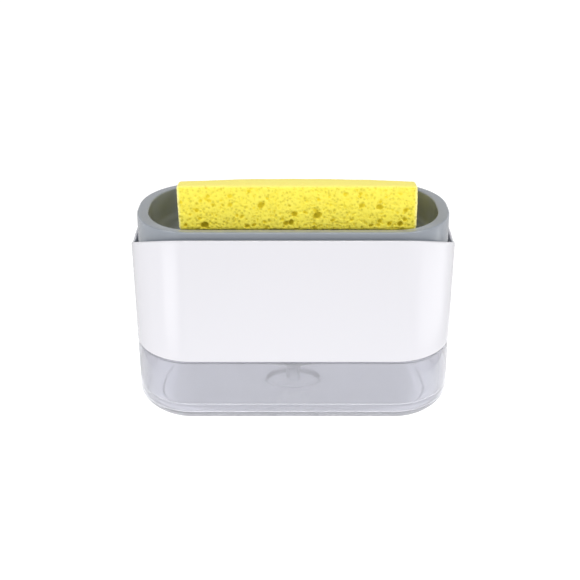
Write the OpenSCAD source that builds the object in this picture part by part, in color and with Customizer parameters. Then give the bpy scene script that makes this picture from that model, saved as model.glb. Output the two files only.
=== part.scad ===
// Soap pump caddy: a clear soap reservoir, a sleeve that stands on it and carries a hand pump,
// and a sprung tray for a sponge. Pressing the tray pumps soap up through its centre.
// Millimetres, +Z up, the front faces -Y. The origin is the middle of the footprint.

/* [Plan outline] */
// Length of the caddy at the sleeve rim
body_w = 135; // [128:1:160]
// Depth of the caddy at the sleeve rim
body_d = 90; // [86:1:110]
// Reach of a corner curve along the front
corner_across = 26.5; // [24:0.5:32]
// Reach of a corner curve along the side
corner_deep = 41; // [36:0.5:43]
// Steps in each corner curve
corner_steps = 14; // [10:1:16]

/* [Reservoir] */
// Height of the ledge that the sleeve stands on
tank_h = 25.2; // [22:0.2:32]
// How far the reservoir stands back from the plan outline
tank_inset = 2; // [1.5:0.1:3]
// Wall of the reservoir
tank_wall = 2.2; // [1.6:0.1:3]
// Wall of the reservoir's upper neck
tank_neck_wall = 2; // [1.6:0.1:2.6]
// Height of the neck above the ledge
tank_neck_rise = 12; // [9:0.2:12.4]
// Sideways reach of the rounding above the foot
foot_round_in = 6; // [4:0.5:7.5]
// Height of the rounding above the foot
foot_round_up = 8; // [6:0.5:10]
// Width of the flat foot ring
foot_ring_w = 2.6; // [2:0.1:3.4]
// Recess under the floor
foot_recess = 1.6; // [1.4:0.1:2.4]
// Thickness of the floor
tank_floor_th = 2.2; // [1.6:0.1:2.8]
// Radius inside, from wall to floor
tank_inner_round = 5.5; // [3:0.5:7]
// Radius of the round well at the middle of the floor
sump_r = 11.3; // [8:0.1:14]
// Depth of that well
sump_depth = 1.8; // [1:0.1:2]
// Wall under and around the well
sump_wall = 1.2; // [1:0.1:1.4]

/* [Reservoir seal] */
// Height of the seal ring's groove above the ledge
seal_rise = 4.8; // [2:0.2:8]
// Width of the groove
seal_groove_w = 1.8; // [1.4:0.1:2.4]
// Depth of the groove
seal_groove_depth = 0.9; // [0.6:0.1:1.1]
// How far the ring stands proud of the neck
seal_proud = 0.15; // [0.05:0.05:0.2]

/* [Sleeve] */
// Height of the sleeve at its front
sleeve_h = 50.8; // [49.6:0.2:56]
// Wall of the sleeve
sleeve_wall = 2; // [1.6:0.1:2.2]
// How much narrower the sleeve is at its lower edge, each side
sleeve_draft = 1.7; // [1.2:0.1:2]
// Depth of the dip in the rim at the two ends
rim_scoop = 11.4; // [6:0.1:12.4]
// Height of the deck's top above the sleeve's lower edge
deck_rise = 15.1; // [14.8:0.1:15.3]
// Thickness of the deck
deck_th = 2.2; // [1.8:0.1:2.4]
// Depth of the ribs under the deck
deck_rib_h = 3.5; // [2:0.5:5]

/* [Pump] */
// Travel of the tray
stroke = 10; // [7:0.5:10]
// Height of the pump's neck on the deck
pump_neck_h = 6; // [5:0.1:6.2]
// Wall of the pump's neck
pump_neck_wall = 4.5; // [3.5:0.1:5]
// Inner radius of the pump barrel
barrel_r = 6.5; // [6:0.1:7]
// Wall of the pump barrel
barrel_wall = 1.2; // [1:0.1:1.4]
// Length of the barrel's bore
barrel_depth = 34.7; // [33.6:0.1:35]
// Width of the barrel's flange beyond its wall
flange_w = 3.8; // [3:0.1:4.2]
// Thickness of the barrel's flange
flange_th = 1.4; // [1.2:0.1:1.6]
// Thickness of the gasket under the flange
gasket_th = 0.8; // [0.6:0.1:1]
// Wall of the screw collar
collar_wall = 2.2; // [1.8:0.1:3]
// Thickness of the collar's top
collar_top_th = 1.6; // [1.2:0.1:1.8]
// Grip ribs round the collar
collar_ribs = 30; // [18:1:36]
// Outer radius of the pump stem
stem_r = 3.5; // [3.3:0.1:3.7]
// Outer radius of the suction tube
tube_r = 3; // [2.6:0.1:3.2]
// Wall of the suction tube
tube_wall = 0.9; // [0.6:0.1:1.1]
// Radius of the inlet ball
inlet_ball_r = 2.5; // [2.3:0.1:2.7]
// Radius of the outlet ball
outlet_ball_r = 1.9; // [1.8:0.05:2]
// Lift of each ball off its seat
ball_lift = 1.5; // [1:0.1:1.6]

/* [Return spring] */
// Diameter of the spring wire
wire_d = 0.8; // [0.6:0.1:0.8]
// Mean radius of the coil
coil_r = 4.4; // [4:0.1:4.8]
// Turns of the coil
coil_turns = 5.5; // [4:0.5:5.5]

/* [Tray] */
// How far the tray stands back from the plan outline
tray_inset = 3; // [2.8:0.1:3.4]
// Height of the tray's rim above the sleeve's rim
tray_rise = 2.6; // [1.8:0.1:4]
// Width of the tray's rim
tray_rim_w = 4.7; // [4.4:0.1:5.5]
// Depth of the tray's basin
basin_depth = 11.8; // [10:0.1:12]
// Radius from the basin's wall to its floor
basin_round = 3.5; // [3:0.5:6.5]
// Wall of the tray
tray_wall = 1.6; // [1.3:0.1:1.7]
// Height of the tray's outer skirt
skirt_h = 23.8; // [20:0.2:25]
// Height of the round outlet mound in the basin
mound_h = 2.1; // [1.6:0.1:2.2]
// Outer radius of the mound's top
mound_r = 10.8; // [10:0.1:12]
// Thickness of the outlet cap
cap_th = 0.9; // [0.7:0.1:1]
// Holes in the outlet cap
cap_holes = 6; // [4:1:8]
// Radius of each hole
cap_hole_r = 0.9; // [0.6:0.1:1.1]

/* [Sponge] */
// Space at each end of the sponge in the basin
sponge_end_gap = 11.8; // [8:0.2:14]
// Sideways place of the sponge
sponge_shift = 1.5; // [-3:0.5:3]
// Depth of the sponge, front to back
sponge_d = 60; // [54:0.5:62]
// Space behind the sponge in the basin
sponge_back_gap = 9; // [8:0.2:11]
// Thickness of the sponge at its front
sponge_h = 17.6; // [12:0.2:24]
// How much thinner the sponge is at its back
sponge_taper = 3; // [0:0.2:4]
// Radius of the sponge's edges
sponge_round = 3.2; // [2:0.2:4]
// Rise of the sponge's top at its middle
sponge_crown = 0.8; // [0:0.1:2]

/* [Hidden] */
fine = 72;
over = 1;

// Clearances
seat_gap = 0.2;
neck_gap = 0.35;
shaft_gap = 0.1;
push_gap = 0.05;
soft_gap = 0.3;
stop_gap = 0.2;

// Reservoir
foot_ring_in = tank_inset + foot_round_in + foot_ring_w;
tank_floor_z = foot_recess + tank_floor_th;
tank_wall_draft = 0.3;
tank_edge = 0.5;
tank_foot_steps = 5;
neck_inset = sleeve_draft + sleeve_wall + neck_gap;
tank_neck_z = tank_h + tank_neck_rise;
neck_shoulder = 2.4;
sump_floor_z = tank_floor_z - sump_depth;
seal_z = tank_h + seal_rise;
seal_side_gap = 0.1;

// Sleeve
sleeve_z = tank_h + seat_gap;
rim_z = sleeve_z + sleeve_h;
sleeve_edge = 0.7;
edge_share = 0.3;
scoop_round = 9;
deck_z = sleeve_z + deck_rise;
deck_root = 0.8;
deck_rib_w = 1.6;
deck_rib_clear = 3;

// Pump, from the deck up
barrel_out = barrel_r + barrel_wall;
pump_neck_in = barrel_out + neck_gap;
pump_neck_out = pump_neck_in + pump_neck_wall;
pump_neck_z = deck_z + pump_neck_h;
flange_r = barrel_out + flange_w;
flange_z = pump_neck_z + gasket_th;
flange_top = flange_z + flange_th;
guide_flange_r = barrel_out + flange_w / 2;
guide_flange_th = 0.8;
guide_reach = 3.5;
guide_boss_r = barrel_out - shaft_gap;
guide_boss_h = 0.8;
collar_plate_z = flange_top + guide_flange_th;
collar_top = collar_plate_z + collar_top_th;
guide_top = collar_top + guide_boss_h;
wiper_w = 1.5;
wiper_th = 1.2;
wiper_lip = 0.5;
thread_h = 0.6;
thread_w = 1;
neck_ridge_shares = [0.2, 0.6];
collar_ridge_share = 0.4;
collar_gap = 0.2;
collar_bore = pump_neck_out + thread_h + collar_gap;
collar_out = collar_bore + collar_wall;
collar_lift = 1.5;
grip_r = 0.6;

// Pump, from the flange down
barrel_floor_z = flange_top - barrel_depth;
barrel_floor_th = 1.2;
spigot_h = 3.4;
spigot_wall = 1.3;
seat_bore_share = 0.76;
inlet_bore_r = seat_bore_share * inlet_ball_r;
inlet_ball_z = barrel_floor_z + sqrt(pow(inlet_ball_r, 2) - pow(inlet_bore_r, 2));
vent_r = 0.6;
vent_drop = 2.6;
cage_plate_th = 0.9;
cage_wall = 1.2;
cage_gap = 0.1;
cage_hole_r = 1.6;
cage_slot_w = 1.2;
cage_plate_z = inlet_ball_z + inlet_ball_r + ball_lift + cage_gap;
cage_top = cage_plate_z + cage_plate_th;
tube_top = barrel_floor_z - barrel_floor_th - seat_gap;
tube_foot_gap = 0.9;
tube_foot_z = sump_floor_z + tube_foot_gap;
tube_cut = 1.6;

// Stem and piston
shoulder_h = 0.8;
shoulder_w = 1.1;
shoulder_top = flange_top - guide_reach - stop_gap;
seal_h = 6;
seal_top = shoulder_top - shoulder_h;
seal_foot = seal_top - seal_h;
seal_lip = 0.9;
seal_waist = 1;
tip_head_th = 1.4;
tip_z = seal_foot - tip_head_th;
tip_gap = 1.3;
tip_r = barrel_r - tip_gap;
tip_shank_h = 4;
tip_bore_r = 0.7;
stem_bore_r = 1.4;

// Tray
tray_rim_z = rim_z + tray_rise;
tray_floor_z = tray_rim_z - basin_depth;
tray_under_z = tray_floor_z - tray_wall;
skirt_z = tray_rim_z - skirt_h;
skirt_draft = 0.5;
rim_out_round = 1.2;
rim_in_round = 1;
basin_inset = tray_inset + tray_rim_w;
basin_draft = 1.2;
basin_floor_inset = basin_inset + basin_draft + basin_round;
mound_z = tray_floor_z + mound_h;
mound_slope = 2.6;
mound_wall = 2.6;
outlet_r = mound_r - mound_wall;
outlet_depth = 2.7;
outlet_z = mound_z - outlet_depth;
hub_r = 6;
hub_gap = 0.4;
hub_z = guide_top + stroke + hub_gap;
tray_rib_h = 2;
tray_rib_w = 1.4;

// Outlet valve and cap
chamber_r = outlet_ball_r + 0.4;
chamber_depth = 6.2;
chamber_z = outlet_z - chamber_depth;
outlet_ball_z = chamber_z + sqrt(pow(outlet_ball_r, 2) - pow(stem_bore_r, 2));
oring_drop = 1.8;
oring_wire_r = 0.32;
oring_groove = 0.7;
cap_r = mound_r - 1;
cap_top = mound_z + cap_th;
cap_skirt_wall = 1;
cap_skirt_h = 2;
cap_post_r = 1;
cap_post_z = outlet_ball_z + outlet_ball_r + ball_lift + cage_gap;
cap_ring_share = 0.55;
cap_edge = 0.3;

// Return spring, between the ball cage and the piston tip
spring_gap = 0.15;
spring_foot = cage_top + spring_gap + wire_d / 2;
spring_head = tip_z - spring_gap - wire_d / 2;
rings_per_turn = 8;
wire_sides = 6;

// Sponge, tipped back over the outlet cap
sponge_w = body_w - 2 * (basin_inset + sponge_end_gap);
sponge_back_y = body_d / 2 - basin_inset - sponge_back_gap;
sponge_tilt = atan((cap_top - tray_floor_z) / (sponge_back_y - cap_r));
sponge_corner_steps = 4;
sponge_top_steps = 6;
sponge_end_steps = 4;
sponge_mid_steps = 8;
sponge_end_crown = 1.3;

// Plan outline: each entry is [x, y, outward x, outward y], anticlockwise from +X
function corner_point(t) =
    let (n = [corner_deep * sin(t), corner_across * cos(t)], m = norm(n))
    [body_w / 2 - corner_across * (1 - sin(t)), body_d / 2 - corner_deep * (1 - cos(t)),
     n.x / m, n.y / m];
function corner_turn(sx, sy, back) =
    [for (i = [0:corner_steps])
        let (p = corner_point(90 * (back ? corner_steps - i : i) / corner_steps))
        [sx * p[0], sy * p[1], sx * p[2], sy * p[3]]];
outline = concat(corner_turn(1, 1, true), corner_turn(-1, 1, false),
                 corner_turn(-1, -1, true), corner_turn(1, -1, false));

// The outline moved in by ins, flat or as a level ring at height z
function plan(ins) = [for (p = outline) [p[0] - ins * p[2], p[1] - ins * p[3]]];
function ring(ins, z) = [for (p = plan(ins)) [p.x, p.y, z]];
function rings(profile) = [for (q = profile) ring(q[0], q[1])];

// A quarter turn of an ellipse from angle a0 to a1, as [inset, z] pairs about [cx, cz]
function arc(cx, cz, rx, rz, a0, a1, steps) =
    [for (i = [0:steps]) let (a = a0 + (a1 - a0) * i / steps) [cx + rx * cos(a), cz + rz * sin(a)]];

// The sleeve's wall leans out with height, and its rim falls to a rounded dip at each end
function sleeve_in(z) = sleeve_draft * (rim_z - z) / sleeve_h;
function from_dip(y) = norm([y, scoop_round]) - scoop_round;
function rim_height(y) = rim_z - rim_scoop * (1 - from_dip(y) / from_dip(body_d / 2));
function rim_ring(inside, drop) =
    [for (p = outline)
        let (z = rim_height(p[1]) - drop, ins = sleeve_in(z) + inside)
        [p[0] - ins * p[2], p[1] - ins * p[3], z]];

// Skin over a stack of rings: closed by a flat cap at each end, or joined last to first.
// A skin that winds is split into triangles.
module loft(stack, joined = false, split = false) {
    n = len(stack[0]);
    m = len(stack);
    last = joined ? m - 1 : m - 2;
    sides = [for (r = [0:last], k = [0:n - 1])
        let (s = (r + 1) % m, j = (k + 1) % n, a = r * n + k, b = s * n + k, c = s * n + j, d = r * n + j)
        each split ? [[a, b, c], [a, c, d]] : [[a, b, c, d]]];
    caps = joined ? [] : [[for (k = [0:n - 1]) k], [for (k = [0:n - 1]) m * n - 1 - k]];
    polyhedron(points = [for (r = stack, p = r) p], faces = concat(sides, caps), convexity = 8);
}

module tube(outer, inner, z0, z1) {
    rotate_extrude($fn = fine)
        polygon([[inner, z0], [outer, z0], [outer, z1], [inner, z1]]);
}

// Reservoir: one clear moulding, a straight wall on a rounded foot, stepped in to a neck
module reservoir() {
    foot = tank_inset + foot_round_in;
    inner = tank_inset + tank_wall;
    neck_in = neck_inset + tank_neck_wall;
    under = [[foot_ring_in, foot_recess], [foot_ring_in - tank_edge, 0]];
    outside = concat(
        arc(foot + tank_wall_draft, foot_round_up, -foot_round_in, foot_round_up,
            -90, 0, tank_foot_steps),
        [[tank_inset, tank_h - tank_edge], [tank_inset + tank_edge, tank_h]]);
    neck = [
        [neck_inset, tank_h],
        [neck_inset, seal_z], [neck_inset + seal_groove_depth, seal_z],
        [neck_inset + seal_groove_depth, seal_z + seal_groove_w],
        [neck_inset, seal_z + seal_groove_w],
        [neck_inset, tank_neck_z - tank_edge], [neck_inset + tank_edge, tank_neck_z],
        [neck_in, tank_neck_z]
    ];
    inside = concat(
        [[neck_in, tank_h - tank_edge], [inner, tank_h - tank_edge - neck_shoulder]],
        arc(inner + tank_inner_round, tank_floor_z + tank_inner_round,
            -tank_inner_round, tank_inner_round, 0, -90, tank_foot_steps));
    color("lightcyan", 0.6)
    difference() {
        union() {
            loft(rings(concat(under, outside, neck, inside)));
            translate([0, 0, sump_floor_z - sump_wall])
                cylinder(r = sump_r + sump_wall, h = sump_wall + sump_depth, $fn = fine);
        }
        translate([0, 0, sump_floor_z])
            cylinder(r = sump_r, h = sump_depth + over, $fn = fine);
    }
}

// Soft ring in the neck's groove, which grips the sleeve
module reservoir_seal() {
    outer = neck_inset - seal_proud;
    inner = neck_inset + seal_groove_depth - seal_side_gap;
    z0 = seal_z + seal_side_gap;
    z1 = seal_z + seal_groove_w - seal_side_gap;
    mid = (z0 + z1) / 2;
    color("gainsboro")
    loft(rings([[inner, z0], [neck_inset, z0], [outer, mid], [neck_inset, z1], [inner, z1]]),
         joined = true);
}

// Housing: the outer sleeve, the deck across it and the neck that holds the pump
module housing() {
    low = sleeve_in(sleeve_z);
    skin = [
        ring(low + sleeve_wall, sleeve_z),
        ring(low + sleeve_edge, sleeve_z),
        ring(low + edge_share * sleeve_edge, sleeve_z + edge_share * sleeve_edge),
        ring(sleeve_in(sleeve_z + sleeve_edge), sleeve_z + sleeve_edge),
        rim_ring(0, sleeve_edge),
        rim_ring(edge_share * sleeve_edge, edge_share * sleeve_edge),
        rim_ring(sleeve_edge, 0),
        rim_ring(sleeve_wall - sleeve_edge / 2, 0),
        rim_ring(sleeve_wall, sleeve_edge / 2),
        ring(sleeve_in(deck_z) + sleeve_wall, deck_z)
    ];
    color("white")
    difference() {
        union() {
            loft(skin, joined = true);
            translate([0, 0, deck_z - deck_th])
                linear_extrude(deck_th)
                    polygon(plan(sleeve_in(deck_z - deck_th) + sleeve_wall - deck_root));
            translate([0, 0, deck_z - over])
                cylinder(r = pump_neck_out, h = pump_neck_h + over, $fn = fine);
            for (share = neck_ridge_shares) translate([0, 0, deck_z + share * pump_neck_h])
                thread_ridge(pump_neck_out, thread_h);
            deck_ribs();
        }
        translate([0, 0, deck_z - deck_th - deck_rib_h - over])
            cylinder(r = pump_neck_in, h = deck_th + deck_rib_h + pump_neck_h + 2 * over,
                     $fn = fine);
    }
}

// Ridge that stands out of a wall of radius r by h, or into its bore where h is negative
module thread_ridge(r, h) {
    root = r - h / 2;
    tip = r + h;
    rotate_extrude($fn = fine)
        polygon([[root, 0], [r, 0], [tip, thread_w / 3], [tip, 2 * thread_w / 3],
                 [r, thread_w], [root, thread_w]]);
}

module deck_ribs() {
    clear = neck_inset + tank_neck_wall + deck_rib_clear;
    z = deck_z - deck_th - deck_rib_h;
    long = body_w - 2 * clear;
    short = body_d - 2 * clear;
    h = deck_rib_h + deck_th / 2;
    translate([-long / 2, -deck_rib_w / 2, z]) cube([long, deck_rib_w, h]);
    translate([-deck_rib_w / 2, -short / 2, z]) cube([deck_rib_w, short, h]);
}

module cylinder_gasket() {
    color("silver")
    tube(flange_r, barrel_out + neck_gap, pump_neck_z, flange_z);
}

// Pump cylinder: hangs from the neck by its flange, with the inlet seat at its foot
module pump_cylinder() {
    under = barrel_floor_z - barrel_floor_th;
    spigot = tube_r + push_gap + spigot_wall;
    color("whitesmoke")
    difference() {
        rotate_extrude($fn = fine)
            polygon([
                [inlet_bore_r, barrel_floor_z], [inlet_bore_r, under],
                [tube_r + push_gap, under], [tube_r + push_gap, under - spigot_h],
                [spigot, under - spigot_h], [spigot, under], [barrel_out - barrel_wall, under],
                [barrel_out, under + barrel_wall], [barrel_out, flange_z],
                [flange_r, flange_z], [flange_r, flange_top], [barrel_r, flange_top],
                [barrel_r, barrel_floor_z]
            ]);
        translate([0, 0, flange_z - vent_drop]) rotate([90, 0, 0])
            cylinder(r = vent_r, h = barrel_out + over, $fn = fine / 2);
    }
}

// Suction tube, cut at a slant where it stands in the well
module suction_tube() {
    reach = tube_top - tube_foot_z;
    color("white", 0.7)
    difference() {
        tube(tube_r, tube_r - tube_wall, tube_foot_z, tube_foot_z + reach);
        translate([0, 0, tube_foot_z]) rotate([0, atan(tube_cut / (2 * tube_r)), 0])
            translate([-2 * tube_r, -2 * tube_r, -2 * tube_r])
                cube([4 * tube_r, 4 * tube_r, 2 * tube_r]);
    }
}

module inlet_ball() {
    color("silver")
    translate([0, 0, inlet_ball_z]) sphere(r = inlet_ball_r, $fn = fine / 2);
}

// Cage over the inlet ball, with slots for the soap, and the spring's seat on top
module ball_cage() {
    outer = barrel_r - push_gap;
    color("whitesmoke")
    difference() {
        translate([0, 0, barrel_floor_z])
            cylinder(r = outer, h = cage_top - barrel_floor_z, $fn = fine);
        translate([0, 0, barrel_floor_z - over])
            cylinder(r = outer - cage_wall, h = cage_plate_z - barrel_floor_z + over, $fn = fine);
        translate([0, 0, cage_plate_z - over])
            cylinder(r = cage_hole_r, h = cage_plate_th + 2 * over, $fn = fine / 2);
        for (a = [0, 90]) rotate([0, 0, a])
            translate([-cage_slot_w / 2, -barrel_r / 2, cage_plate_z - over])
                cube([cage_slot_w, barrel_r, cage_plate_th + 2 * over]);
    }
}

// Centre line of the return spring
function coil_at(t) = [
    coil_r * cos(360 * coil_turns * t), coil_r * sin(360 * coil_turns * t),
    spring_foot + (spring_head - spring_foot) * t
];
coil_count = ceil(rings_per_turn * coil_turns);
coil_line = [for (i = [0:coil_count]) coil_at(i / coil_count)];

// Least gap of the wire to itself, between points over half a turn apart
coil_gap = min([for (i = [0:coil_count], j = [i + rings_per_turn / 2 + 1:1:coil_count])
    norm(coil_line[i] - coil_line[j])]) - wire_d;
echo(least_spring_gap = coil_gap);

// Return spring: one unbroken wire, swept along a helix
module return_spring() {
    pitch = (spring_head - spring_foot) / coil_turns;
    lean = atan(pitch / (2 * PI * coil_r));
    wire = [for (i = [0:coil_count])
        let (turn = 360 * coil_turns * i / coil_count,
             across = [cos(turn), sin(turn), 0],
             up = [sin(turn) * sin(lean), -cos(turn) * sin(lean), cos(lean)])
        [for (k = [0:wire_sides - 1]) let (a = 360 * k / wire_sides)
            coil_line[i] + wire_d / 2 * (cos(a) * across + sin(a) * up)]];
    color("silver") loft(wire, split = true);
}

// Guide that closes the cylinder's top, keeps the stem upright and stops the piston
module stem_guide() {
    bore = stem_r + shaft_gap;
    foot = flange_top - guide_reach;
    pocket = stem_r + wiper_w + push_gap;
    color("white")
    rotate_extrude($fn = fine)
        polygon([
            [bore, foot], [barrel_r - push_gap, foot], [barrel_r - push_gap, flange_top],
            [guide_flange_r, flange_top], [guide_flange_r, collar_plate_z],
            [guide_boss_r, collar_plate_z], [guide_boss_r, guide_top], [pocket, guide_top],
            [pocket, guide_top - wiper_th], [bore, guide_top - wiper_th]
        ]);
}

// Soft wiper in the guide's mouth, which keeps water from the tray out of the pump
module stem_wiper() {
    bore = stem_r + push_gap;
    foot = guide_top - wiper_th;
    color("gainsboro")
    rotate_extrude($fn = fine)
        polygon([
            [bore, foot], [stem_r + wiper_w, foot], [stem_r + wiper_w, guide_top - wiper_lip],
            [bore + wiper_lip, guide_top], [bore, guide_top]
        ]);
}

// Screw collar, which clamps the guide and the cylinder's flange to the neck
module pump_collar() {
    foot = deck_z + collar_lift;
    color("white")
    difference() {
        union() {
            difference() {
                translate([0, 0, foot])
                    cylinder(r = collar_out, h = collar_top - foot, $fn = fine);
                translate([0, 0, foot - over])
                    cylinder(r = collar_bore, h = collar_plate_z - foot + over, $fn = fine);
            }
            translate([0, 0, deck_z + collar_ridge_share * pump_neck_h])
                thread_ridge(collar_bore, -thread_h);
            for (i = [0:collar_ribs - 1]) rotate([0, 0, 360 * i / collar_ribs])
                translate([collar_out, 0, foot])
                    cylinder(r = grip_r, h = collar_top - foot - grip_r, $fn = 16);
        }
        translate([0, 0, collar_plate_z - over])
            cylinder(r = guide_boss_r + neck_gap, h = collar_top_th + 2 * over, $fn = fine);
    }
}

// Hollow stem: carries the soap up, with the outlet ball's seat near its top
module pump_stem() {
    groove_z = outlet_z - oring_drop;
    groove_r = stem_r - oring_groove;
    color("white")
    rotate_extrude($fn = fine)
        polygon([
            [stem_bore_r, seal_foot], [stem_r, seal_foot], [stem_r, seal_top],
            [stem_r + shoulder_w, seal_top], [stem_r + shoulder_w, shoulder_top],
            [stem_r, shoulder_top], [stem_r, groove_z - oring_wire_r - push_gap],
            [groove_r, groove_z - oring_wire_r - push_gap],
            [groove_r, groove_z + oring_wire_r + push_gap],
            [stem_r, groove_z + oring_wire_r + push_gap], [stem_r, outlet_z],
            [chamber_r, outlet_z], [chamber_r, chamber_z], [stem_bore_r, chamber_z]
        ]);
}

// Two-lipped piston seal, pushed on to the foot of the stem
module piston_seal() {
    outer = barrel_r - push_gap;
    waist = outer - seal_waist;
    bore = stem_r + push_gap;
    color("lightgray")
    rotate_extrude($fn = fine)
        polygon([
            [bore, seal_foot], [outer - seal_lip / 2, seal_foot], [outer, seal_foot + seal_lip],
            [waist, seal_foot + 2 * seal_lip], [waist, seal_top - 2 * seal_lip],
            [outer, seal_top - seal_lip], [outer - seal_lip / 2, seal_top], [bore, seal_top]
        ]);
}

// Plug under the piston: holds the seal on and takes the spring's push
module piston_tip() {
    color("white")
    rotate_extrude($fn = fine)
        polygon([
            [tip_bore_r, tip_z], [tip_r, tip_z], [tip_r, seal_foot],
            [stem_bore_r - push_gap, seal_foot],
            [stem_bore_r - push_gap, seal_foot + tip_shank_h],
            [tip_bore_r, seal_foot + tip_shank_h]
        ]);
}

module stem_oring() {
    centre = stem_r - oring_groove + push_gap + oring_wire_r;
    color("dimgray")
    translate([0, 0, outlet_z - oring_drop])
        rotate_extrude($fn = fine) translate([centre, 0]) circle(r = oring_wire_r, $fn = 24);
}

module outlet_ball() {
    color("silver")
    translate([0, 0, outlet_ball_z]) sphere(r = outlet_ball_r, $fn = fine / 2);
}

// Sponge tray: a basin inside a skirt that slides in the sleeve, with a hub for the stem
module sponge_tray() {
    outer_floor_round = basin_round + tray_wall;
    floor_in = basin_inset + basin_draft;
    steps = 4;
    profile = concat(
        arc(basin_floor_inset, tray_floor_z + basin_round, -outer_floor_round,
            outer_floor_round, -90, 0, steps),
        [
            [basin_inset - tray_wall, tray_rim_z - tray_wall],
            [tray_inset + tray_wall, tray_rim_z - tray_wall],
            [tray_inset + skirt_draft + tray_wall, skirt_z],
            [tray_inset + skirt_draft, skirt_z]
        ],
        arc(tray_inset + rim_out_round, tray_rim_z - rim_out_round, -rim_out_round,
            rim_out_round, 0, 90, 3),
        arc(basin_inset - rim_in_round, tray_rim_z - rim_in_round, rim_in_round,
            rim_in_round, 90, 0, 3),
        arc(basin_floor_inset, tray_floor_z + basin_round, -basin_round, basin_round,
            0, -90, steps + 1));
    color("slategray")
    difference() {
        union() {
            loft(rings(profile));
            rotate_extrude($fn = fine)
                polygon([
                    [0, hub_z], [hub_r, hub_z], [hub_r, outlet_z - tray_wall],
                    [mound_r, outlet_z - tray_wall], [mound_r, tray_under_z + tray_wall / 2],
                    [mound_r + mound_slope, tray_floor_z - tray_wall / 2],
                    [mound_r + mound_slope, tray_floor_z], [mound_r, mound_z], [0, mound_z]
                ]);
            tray_ribs();
        }
        translate([0, 0, outlet_z])
            cylinder(r = outlet_r, h = outlet_depth + over, $fn = fine);
        translate([0, 0, hub_z - over])
            cylinder(r = stem_r + push_gap, h = outlet_z - hub_z + 2 * over, $fn = fine);
    }
}

module tray_ribs() {
    long = body_w - 2 * basin_floor_inset;
    short = body_d - 2 * basin_floor_inset;
    z = tray_under_z - tray_rib_h;
    h = tray_rib_h + tray_wall / 2;
    difference() {
        union() {
            translate([-long / 2, -tray_rib_w / 2, z]) cube([long, tray_rib_w, h]);
            translate([-tray_rib_w / 2, -short / 2, z]) cube([tray_rib_w, short, h]);
        }
        translate([0, 0, z - over]) cylinder(r = hub_r / 2, h = h + over, $fn = fine);
    }
}

// Outlet cap: closes the mound, keeps the outlet ball in and lets the soap out
module outlet_cap() {
    skirt = outlet_r - push_gap;
    color("gray")
    difference() {
        union() {
            rotate_extrude($fn = fine)
                polygon([
                    [0, mound_z], [cap_r, mound_z], [cap_r, cap_top - cap_edge],
                    [cap_r - cap_edge, cap_top], [0, cap_top]
                ]);
            tube(skirt, skirt - cap_skirt_wall, mound_z - cap_skirt_h, mound_z + cap_th / 2);
            translate([0, 0, cap_post_z])
                cylinder(r = cap_post_r, h = mound_z - cap_post_z + cap_th / 2, $fn = fine / 2);
        }
        for (i = [0:cap_holes - 1]) rotate([0, 0, 360 * i / cap_holes])
            translate([cap_ring_share * outlet_r, 0, mound_z - over])
                cylinder(r = cap_hole_r, h = cap_th + 2 * over, $fn = fine / 3);
    }
}

// Cross-section of the sponge, [y, z] from its back lower edge, drawn in by trim
function sponge_corner(cy, cz, r, a0) =
    [for (i = [0:sponge_corner_steps])
        let (a = a0 + 90 * i / sponge_corner_steps) [cy + r * cos(a), cz + r * sin(a)]];
function sponge_section(trim, rise) =
    let (r = sponge_round - trim,
         y0 = -sponge_d + sponge_round, y1 = -sponge_round,
         z0 = sponge_round, z1 = sponge_h - sponge_round,
         top = [for (i = [1:sponge_top_steps - 1]) [y1 + (y0 - y1) * i / sponge_top_steps, z1 + r]],
         base = [for (i = [1:sponge_top_steps - 1]) [y0 + (y1 - y0) * i / sponge_top_steps, z0 - r]])
    [for (p = concat(sponge_corner(y1, z1, r, 0), top, sponge_corner(y0, z1, r, 90),
                     sponge_corner(y0, z0, r, 180), base, sponge_corner(y1, z0, r, 270)))
        p.y < sponge_h / 2 ? p
            : [p.x, p.y - sponge_taper * (1 + p.x / sponge_d)
                    + rise * (1 - pow(2 * p.x / sponge_d + 1, 2))]];

// Stations along the sponge, as [x, trim], with rounded ends
half_sponge = sponge_w / 2;
end_stations = [for (i = [0:sponge_end_steps - 1])
    let (a = 80 * (1 - i / sponge_end_steps))
    [half_sponge - sponge_round * (1 - cos(90 - a)), sponge_round * (1 - cos(a))]];
mid_stations = [for (i = [0:sponge_mid_steps])
    [(half_sponge - sponge_round) * (1 - 2 * i / sponge_mid_steps), 0]];
stations = concat(end_stations, mid_stations,
                  [for (i = [sponge_end_steps - 1:-1:0]) [-end_stations[i][0], end_stations[i][1]]]);

// Sponge: a crowned block, thicker in front, that leans back over the outlet cap
module sponge() {
    sections = [for (s = stations)
        let (rise = sponge_crown + sponge_end_crown * (1 - pow(s[0] / half_sponge, 2)))
        [for (p = sponge_section(s[1], rise)) [s[0], p.x, p.y]]];
    color("gold")
    translate([sponge_shift, sponge_back_y, tray_floor_z + soft_gap])
        rotate([-sponge_tilt, 0, 0]) loft(sections);
}

reservoir();
reservoir_seal();
housing();
cylinder_gasket();
pump_cylinder();
suction_tube();
inlet_ball();
ball_cage();
return_spring();
stem_guide();
stem_wiper();
pump_collar();
pump_stem();
piston_seal();
piston_tip();
stem_oring();
outlet_ball();
sponge_tray();
outlet_cap();
sponge();
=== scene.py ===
# %% [markdown]
# # A soap pump caddy, dressed around its working model
#
# The real object is a countertop soap dispenser. Soap stands in a clear tub, a white sleeve
# stands on the tub and carries a hand pump, and a gray tray on top is pressed like a pump head.
# A sponge lies in the tray. The working model is already made, at its real size, so this lesson
# loads it as a fixed frame and gives every piece its finish around it.

# %% Load the working model
import math

import bmesh
import bpy
import numpy as np
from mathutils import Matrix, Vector, kdtree, noise


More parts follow.
